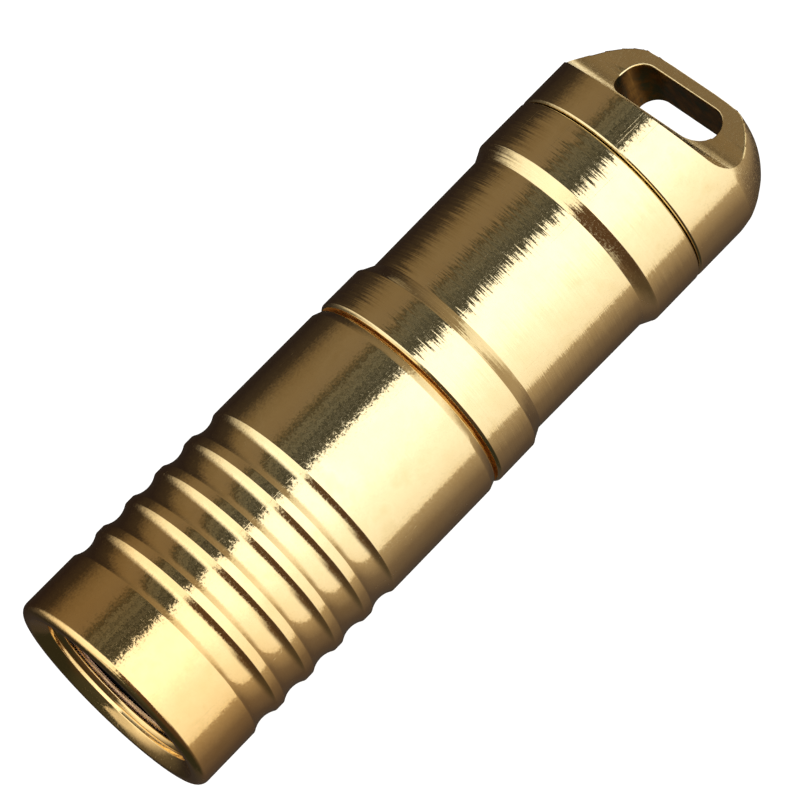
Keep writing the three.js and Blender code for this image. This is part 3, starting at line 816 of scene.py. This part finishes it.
# %% Dome of the light source
silicone, tree, shader = new_material("silicone_clear_dome")
shader.inputs["Base Color"].default_value = linear("fff8dc")
shader.inputs["Roughness"].default_value = 0.05
shader.inputs["IOR"].default_value = 1.41
shader.inputs["Transmission Weight"].default_value = 1.0
dome_profile = [(9.91, 0)] + arc(9.91, 0, 1.25, 90, 180, 16)
dome_profile[-1] = (8.66, 0)
led_mesh = turned(dome_profile, closed=False, sides=64)
piece("led_lens", led_mesh, [silicone], "head", ["led_dome"])

# %% [markdown]
# ## The cell spring
# The spring is wound from round wire in a cone, wide on its plate and narrow where it meets the cell. A circle
# of wire is spun round the axis while it also moves along it, which gives a screw, and the taper is then
# put in by drawing each point in towards the axis by how far along it lies.

# %% Wind the spring
spring_finish = plain("phosphor_bronze_gold_flash", "d9b25e", 0.22, 1.0, 4.0, 2.0)
SPRING_TURNS, WIDE, NARROW, WIRE = 5, 3.6, 2.2, 0.27
SPRING_BACK, SPRING_FRONT = 41.4, 36.15
STEPS_A_TURN = 40
coil = bmesh.new()
ring_verts = bmesh.ops.create_circle(coil, cap_ends=True, radius=WIRE * MM, segments=12)["verts"]
bmesh.ops.translate(coil, verts=ring_verts, vec=at(SPRING_BACK, 0, WIDE))
coil_steps = SPRING_TURNS * STEPS_A_TURN
bmesh.ops.spin(
    coil, geom=coil.verts[:] + coil.edges[:] + coil.faces[:], cent=AXIS, axis=(1, 0, 0),
    dvec=((SPRING_FRONT - SPRING_BACK) * MM / coil_steps, 0, 0), angle=ROUND * SPRING_TURNS,
    steps=coil_steps, use_merge=False, use_duplicate=False,
)
for vert in coil.verts:
    beside = Vector((0, vert.co.y - AXIS.y, vert.co.z - AXIS.z))
    gone = (at(SPRING_BACK, 0).x - vert.co.x) / ((SPRING_BACK - SPRING_FRONT) * MM)
    inward = (WIDE - NARROW) * MM * min(max(gone, 0), 1)
    vert.co -= beside.normalized() * inward
bmesh.ops.recalc_face_normals(coil, faces=coil.faces)
piece("cell_spring", coil, [spring_finish], "cap", ["tail_spring"])

# %% [markdown]
# ## Finishes of the inner pieces
# The pieces inside keep their CAD shapes, which are plain discs, cups and blocks, and get the finish of the
# real thing: printed boards, moulded plastic, drawn steel, shrink sleeve and insulated wire.

# %% Dress the inner pieces
as_turned = brass("brass_as_turned_pill", rings=0.3, mottle=0.1, rough=0.16, worn=0.2)
inner = {
    "led_package": plain("phosphor_on_white_ceramic", "e6cf4e", 0.5, 0.0, 6.0, 3.0),  # matt yellow grains
    "led_gasket": plain("white_nylon_moulded_gasket", "efefea", 0.45, 0.0, 3.0, 2.0),  # soft sheen
    "led_board": plain("aluminium_board_white_mask", "f0f0ea", 0.4, 0.0, 5.0, 2.0),  # glossy paint
    "led_wire_positive": plain("silicone_insulation_red", "b3261e", 0.4, 0.0, 4.0, 2.0),  # waxy red
    "led_wire_negative": plain("silicone_insulation_black", "1c1c1e", 0.4, 0.0, 4.0, 2.0),  # waxy black
    "pill": as_turned,  # dull cutter rings
    "driver_board": plain("glass_epoxy_green_mask", "1f5c39", 0.35, 0.0, 8.0, 2.0),  # glass cloth
    "driver_chip": plain("epoxy_moulded_chip", "18181a", 0.55, 0.0, 10.0, 4.0),  # sooty black
    "driver_capacitor": plain("ceramic_fired_capacitor", "b08d57", 0.5, 0.0, 8.0, 2.0),  # biscuit tan
    "driver_contact": plain("brass_gold_plated_contact", "dfb757", 0.18, 1.0, 4.0, 1.5),  # warm mirror
    "driver_retaining_ring": as_turned,  # dull cutter rings
    "foam_ring": plain("neoprene_foam_cut", "26262a", 0.95, 0.0, 9.0, 40.0),  # open pores, no gloss
    "cell_positive_cap": plain("nickel_plated_steel_pressed", "c9ccd0", 0.25, 1.0, 3.0, 2.0),  # bright
    "cell_insulator": plain("fish_paper_white_ring", "efefe8", 0.8, 0.0, 7.0, 6.0),  # fibrous card
    "cell_can": plain("nickel_plated_steel_drawn", "bfc2c6", 0.28, 1.0, 2.0, 2.0),  # greyer
    "cell_wrap": plain("vinyl_shrink_sleeve_blue", "2f5fa8", 0.32, 0.0, 1.5, 3.0),  # glossy film
    "spring_plate": plain("brass_gold_plated_plate", "d9b455", 0.25, 1.0, 3.0, 2.0),  # warm, softer
}
for name, finish in inner.items():
    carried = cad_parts[name]
    carried.data.materials.clear()
    carried.data.materials.append(finish)
print("inner pieces dressed:", len(inner))
